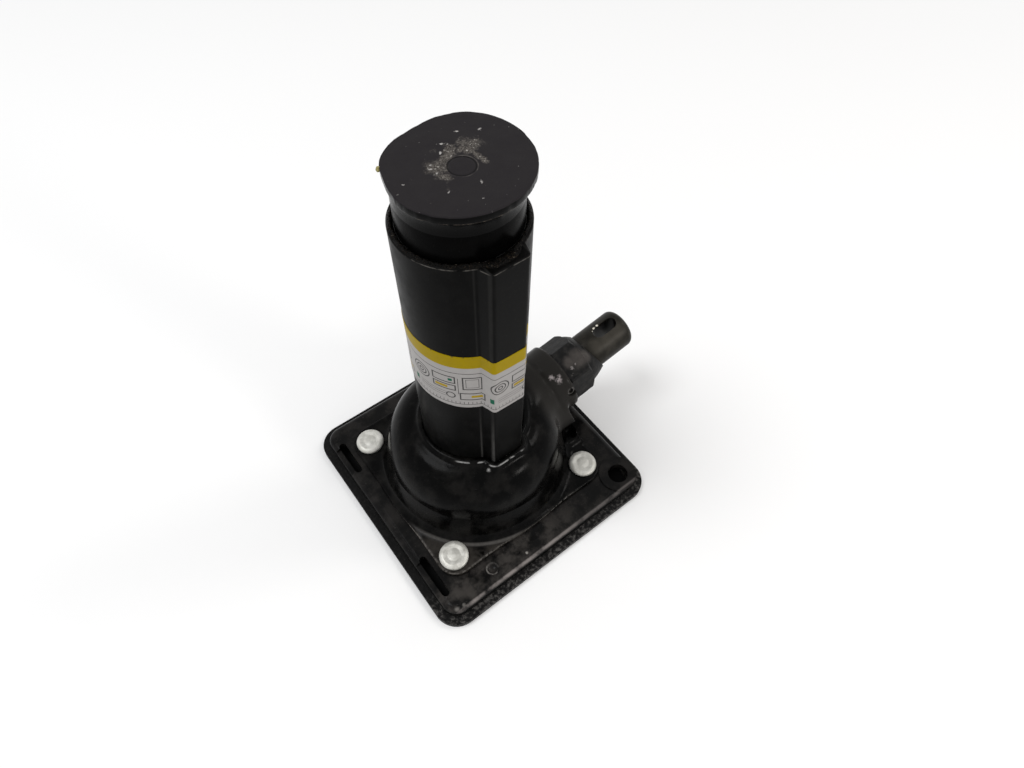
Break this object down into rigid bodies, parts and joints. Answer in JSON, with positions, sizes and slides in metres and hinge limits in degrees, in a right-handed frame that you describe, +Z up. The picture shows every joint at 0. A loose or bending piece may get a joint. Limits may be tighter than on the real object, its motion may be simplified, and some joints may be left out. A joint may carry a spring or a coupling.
{
  "type": "screw jack",
  "caption": "Bevel-driven screw jack: pressed square base, bell-shaped gear housing, ribbed guide tube, disc-headed lifting ram and a sloping slotted input shaft.",
  "frame": {"origin": "where the lift axis meets the ground, on the underside of the base's well", "axes": "+Z up along the lift axis; the input shaft leaves towards +X and rises 10.6 degrees; the tube's keyway rib faces -Y"},
  "size_m": [0.1498, 0.1214, 0.1845],
  "materials": {
    "base_paint": "gloss black paint over pressed sheet",
    "housing_paint": "gloss black paint over a casting",
    "tube_paint": "satin black paint",
    "ram_paint": "greasy satin black",
    "head_paint": "worn matt black paint",
    "rivet_metal": "bright cold-headed rivet",
    "shaft_metal": "phosphated steel, oily",
    "gland_metal": "black paint, chipped",
    "dark_steel": "blackened steel",
    "screw_steel": "machined steel",
    "gear_steel": "forged and cut steel",
    "bearing_steel": "ground steel",
    "bronze": "cast bronze",
    "wiper_rubber": "greasy rubber",
    "label_film": "printed film"
  },
  "bodies": {
    "frame": {"base_plate": "base_paint", "base_rivets": "rivet_metal", "gear_housing": "housing_paint", "outer_tube": "tube_paint", "label_band": "label_film", "guide_ring": "bronze", "wiper_ring": "wiper_rubber", "pinion_bush": "bronze", "pinion_washer": "bronze", "gland_nut": "gland_metal", "gland_screw": "dark_steel", "thrust_race_lower": "bearing_steel"},
    "drive_shaft": {"input_shaft": "shaft_metal", "bevel_pinion": "gear_steel", "pinion_pin": "bearing_steel", "shaft_clip": "bearing_steel"},
    "screw": {"thrust_race_upper": "bearing_steel", "main_screw": "screw_steel", "bevel_gear": "gear_steel", "gear_key": "bearing_steel", "stop_washer": "dark_steel", "stop_clip": "bearing_steel"},
    "bearing_cage": {"thrust_balls": "bearing_steel", "ball_cage": "bronze"},
    "ram": {"ram_tube": "ram_paint", "ram_head": "head_paint", "head_rivet": "head_paint", "lift_nut": "bronze", "nut_pins": "bearing_steel", "guide_key": "dark_steel"}
  },
  "joints": [
    {"name": "ram_lift", "type": "slide", "parent": "frame", "child": "ram", "axis": [0, 0, 1], "range_m": [0, 0.085]},
    {"name": "shaft_spin", "type": "hinge", "parent": "frame", "child": "drive_shaft", "pos_m": [0, 0, 0.0278], "axis": [-0.9829, 0, -0.184], "range_deg": [0, 14961]},
    {"name": "screw_spin", "type": "hinge", "parent": "frame", "child": "screw", "pos_m": [0, 0, 0.02], "axis": [0, 0, -1], "range_deg": [0, 6121]},
    {"name": "cage_spin", "type": "hinge", "parent": "frame", "child": "bearing_cage", "pos_m": [0, 0, 0.0082], "axis": [0, 0, -1], "range_deg": [0, 3061]}
  ],
  "couplings": [
    {"joint": "shaft_spin", "follows": "ram_lift", "rad_per_m": 3071.8},
    {"joint": "screw_spin", "follows": "ram_lift", "rad_per_m": 1256.6},
    {"joint": "cage_spin", "follows": "ram_lift", "rad_per_m": 628.32}
  ]
}
